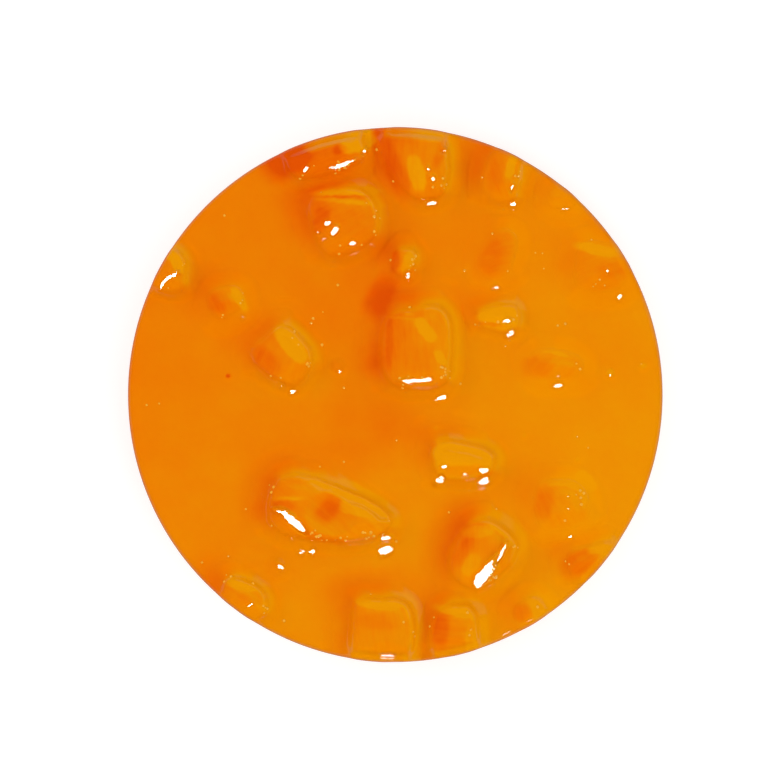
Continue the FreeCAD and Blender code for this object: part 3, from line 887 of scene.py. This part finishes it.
def scatter_tree(material):
    """Geometry nodes that lay small wet beads on a sheet, as its density attribute says."""
    tree = bpy.data.node_groups.new("FilmBeads", "GeometryNodeTree")
    tree.interface.new_socket("Geometry", in_out="INPUT", socket_type="NodeSocketGeometry")
    for label in ("Most per square metre", "Smallest radius", "Largest radius", "Height", "Sink"):
        tree.interface.new_socket(label, in_out="INPUT", socket_type="NodeSocketFloat")
    tree.interface.new_socket("Seed", in_out="INPUT", socket_type="NodeSocketInt")
    tree.interface.new_socket("Geometry", in_out="OUTPUT", socket_type="NodeSocketGeometry")
    nodes, links = tree.nodes, tree.links
    given, result = nodes.new("NodeGroupInput"), nodes.new("NodeGroupOutput")
    field = nodes.new("GeometryNodeInputNamedAttribute")
    field.data_type = "FLOAT"
    field.inputs["Name"].default_value = "density"
    density = math_node(nodes, links, "MULTIPLY", field.outputs["Attribute"],
                        given.outputs["Most per square metre"])
    spread = nodes.new("GeometryNodeDistributePointsOnFaces")
    links.new(given.outputs["Geometry"], spread.inputs["Mesh"])
    links.new(density, spread.inputs["Density"])
    links.new(given.outputs["Seed"], spread.inputs["Seed"])
    size = nodes.new("FunctionNodeRandomValue")
    size.data_type = "FLOAT"
    links.new(given.outputs["Smallest radius"], size.inputs[2])
    links.new(given.outputs["Largest radius"], size.inputs[3])
    links.new(given.outputs["Seed"], size.inputs["Seed"])
    bead = nodes.new("GeometryNodeMeshUVSphere")
    bead.inputs["Segments"].default_value = 8
    bead.inputs["Rings"].default_value = 6
    bead.inputs["Radius"].default_value = 1.0
    shape = nodes.new("ShaderNodeCombineXYZ")
    links.new(size.outputs[1], shape.inputs["X"])
    links.new(size.outputs[1], shape.inputs["Y"])
    links.new(math_node(nodes, links, "MULTIPLY", size.outputs[1], given.outputs["Height"]),
              shape.inputs["Z"])
    place = nodes.new("GeometryNodeInstanceOnPoints")
    links.new(spread.outputs["Points"], place.inputs["Points"])
    links.new(bead.outputs["Mesh"], place.inputs["Instance"])
    links.new(shape.outputs[0], place.inputs["Scale"])
    lower = nodes.new("ShaderNodeCombineXYZ")
    links.new(math_node(nodes, links, "MULTIPLY", given.outputs["Sink"], -1.0), lower.inputs["Z"])
    sunk = nodes.new("GeometryNodeTranslateInstances")
    links.new(place.outputs["Instances"], sunk.inputs["Instances"])
    links.new(lower.outputs[0], sunk.inputs["Translation"])
    real = nodes.new("GeometryNodeRealizeInstances")
    links.new(sunk.outputs["Instances"], real.inputs["Geometry"])
    smooth = nodes.new("GeometryNodeSetShadeSmooth")
    links.new(real.outputs["Geometry"], smooth.inputs["Geometry"])
    finish = nodes.new("GeometryNodeSetMaterial")
    finish.inputs["Material"].default_value = material
    links.new(smooth.outputs["Geometry"], finish.inputs["Geometry"])
    links.new(finish.outputs["Geometry"], result.inputs["Geometry"])
    return tree


def scatter(name, density, tree, most, smallest, largest, seed):
    """A piece of many small flat beads, scattered over the film by the tree."""
    host = film_host(name + "_host", density)
    modifier = host.modifiers.new("beads", "NODES")
    modifier.node_group = tree
    values = {"Most per square metre": most, "Smallest radius": smallest,
              "Largest radius": largest, "Height": 0.6, "Sink": smallest * 0.2, "Seed": seed}
    for item in tree.interface.items_tree:
        if item.in_out == "INPUT" and item.name in values:
            modifier[item.identifier] = values[item.name]
    evaluated = host.evaluated_get(bpy.context.evaluated_depsgraph_get())
    mesh = bpy.data.meshes.new_from_object(evaluated)
    host.modifiers.remove(modifier)
    bpy.data.objects.remove(host)
    mesh.name = name
    thing = new_object(name, mesh)
    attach(thing, "root")


def bead_material():
    """Pulp and bubbles under the film: paler than the sauce, and as wet."""
    material, nodes, links, shader = plain_material("wet_bead", 0.5)
    shader.inputs["Coat Weight"].default_value = 1.0
    shader.inputs["Coat Roughness"].default_value = 0.05
    shader.inputs["Coat IOR"].default_value = WET_IOR
    ramp = nodes.new("ShaderNodeValToRGB")
    ramp.color_ramp.elements[0].color = (0.93, 0.34, 0.010, 1)
    ramp.color_ramp.elements[1].color = (0.95, 0.52, 0.060, 1)
    place = nodes.new("ShaderNodeTexCoord").outputs["Object"]
    links.new(cloud(nodes, links, place, 700, 2), ramp.inputs[0])
    links.new(ramp.outputs["Color"], shader.inputs["Base Color"])
    return material


# Pulp gathers in clusters along the tall crowns' edges, on the side of the light.
clusters = numpy.clip(2.6 * waves(columns, rows, 2.4 * MM, 61.7) + 0.1, 0, 1)
ledge = smooth_step(1 - numpy.abs(inset - 0.7 * MM) / (1.5 * MM)) * smooth_step((to_light + 0.1) / 0.5)
ledge[numpy.abs(inset) > 2.5 * MM] = 0
tall = numpy.clip((level - level_height) / (0.8 * MM), 0, 1)
bead_tree = scatter_tree(bead_material())
scatter("pulp_grains", ledge * clusters * tall, bead_tree,
        most=1.8e6, smallest=0.12 * MM, largest=0.27 * MM, seed=4)

# Bubbles lie thinly on the open sauce.
open_sauce = smooth_step(-inset / MM - 1) * numpy.clip(2 * waves(columns, rows, 6 * MM, 71.3), 0.1, 1)
scatter("air_bubbles", open_sauce, bead_tree,
        most=2.6e4, smallest=0.14 * MM, largest=0.26 * MM, seed=9)


# ---------------------------------------------------------------- floor, light and camera

def floor():
    """A plain white floor that shows white behind the round and keeps its shadow."""
    size = 3.0
    mesh = bpy.data.meshes.new("floor")
    corners = [(-size, -size, 0), (size, -size, 0), (size, size, 0), (-size, size, 0)]
    mesh.from_pydata(corners, [], [(0, 1, 2, 3)])
    thing = new_object("floor", mesh)
    material, nodes, links, shader = plain_material("floor_white", 0.9)
    shader.inputs["Base Color"].default_value = (0.5, 0.5, 0.5, 1)
    seen = nodes.new("ShaderNodeLightPath")
    glow = math_node(nodes, links, "MULTIPLY", seen.outputs["Is Camera Ray"], 0.66)
    shader.inputs["Emission Color"].default_value = (1, 1, 1, 1)
    links.new(glow, shader.inputs["Emission Strength"])
    mesh.materials.append(material)
    thing.location.z = -0.02 * MM


def sky():
    """A world that is white behind things, soft as light, and in reflections pale only low down."""
    world = bpy.data.worlds.new("sky")
    world.use_nodes = True
    bpy.context.scene.world = world
    nodes, links = world.node_tree.nodes, world.node_tree.links
    background = nodes["Background"]
    seen = nodes.new("ShaderNodeLightPath")
    way = nodes.new("ShaderNodeSeparateXYZ")
    links.new(nodes.new("ShaderNodeTexCoord").outputs["Generated"], way.inputs[0])
    horizon = math_node(nodes, links, "MULTIPLY_ADD", way.outputs["Z"], -0.6, 0.12)
    mirrored = math_node(nodes, links, "MAXIMUM", horizon, 0.015)
    soft = math_node(nodes, links, "MULTIPLY_ADD", seen.outputs["Is Diffuse Ray"], 0.67, mirrored)
    strength = math_node(nodes, links, "MAXIMUM", seen.outputs["Is Camera Ray"], soft)
    links.new(strength, background.inputs["Strength"])
    background.inputs["Color"].default_value = (1, 1, 1, 1)


def lamp(name, azimuth, elevation, distance, size, glow, shines=True, lights=True):
    """A flat lamp of a given brightness that faces the round.

    shines says whether it is seen in reflections, and lights whether it lights what is matt.
    """
    light = bpy.data.lights.new(name, "AREA")
    light.shape = "RECTANGLE"
    light.size, light.size_y = size
    light.energy = glow * math.pi * size[0] * size[1]
    thing = new_object(name, light)
    turn, lift = math.radians(azimuth), math.radians(elevation)
    way = Vector((math.cos(turn) * math.cos(lift), math.sin(turn) * math.cos(lift), math.sin(lift)))
    thing.matrix_world = (Matrix.Translation(way * distance)
                          @ way.to_track_quat("Z", "Y").to_matrix().to_4x4())
    thing.visible_glossy = shines
    thing.visible_diffuse = lights


floor()
sky()
lamp("window", WINDOW_AZIMUTH, WINDOW_LIFT, 0.7, (0.22, 0.15), 46, lights=False)
lamp("bright_wall", 52, 24, 0.8, (1.2, 0.55), 0.32)
lamp("window_fill", -50, 40, 0.8, (0.5, 0.5), 1.7, shines=False)
lamp("far_fill", 160, 27, 0.8, (0.5, 0.5), 1.8, shines=False)
lamp("ceiling", 90, 88, 0.9, (1.2, 1.2), 0.19, shines=False)

CAMERA_HEIGHT = 1.6                 # it looks straight down from here
WIDEST_HEIGHT = 4.2 * MM            # of the round's widest ring
VIEW_WIDTH = 1.4382 * 2 * radius    # what the camera sees across, there
camera_data = bpy.data.cameras.new("camera")
camera = new_object("camera", camera_data)
bpy.context.scene.camera = camera
camera.location = (-1.69 * MM, 1.61 * MM, CAMERA_HEIGHT)
camera_data.sensor_width = 36
camera_data.lens = camera_data.sensor_width * (CAMERA_HEIGHT - WIDEST_HEIGHT) / VIEW_WIDTH
camera_data.clip_start, camera_data.clip_end = 0.01, 20

bpy.context.scene.view_settings.view_transform = "Standard"
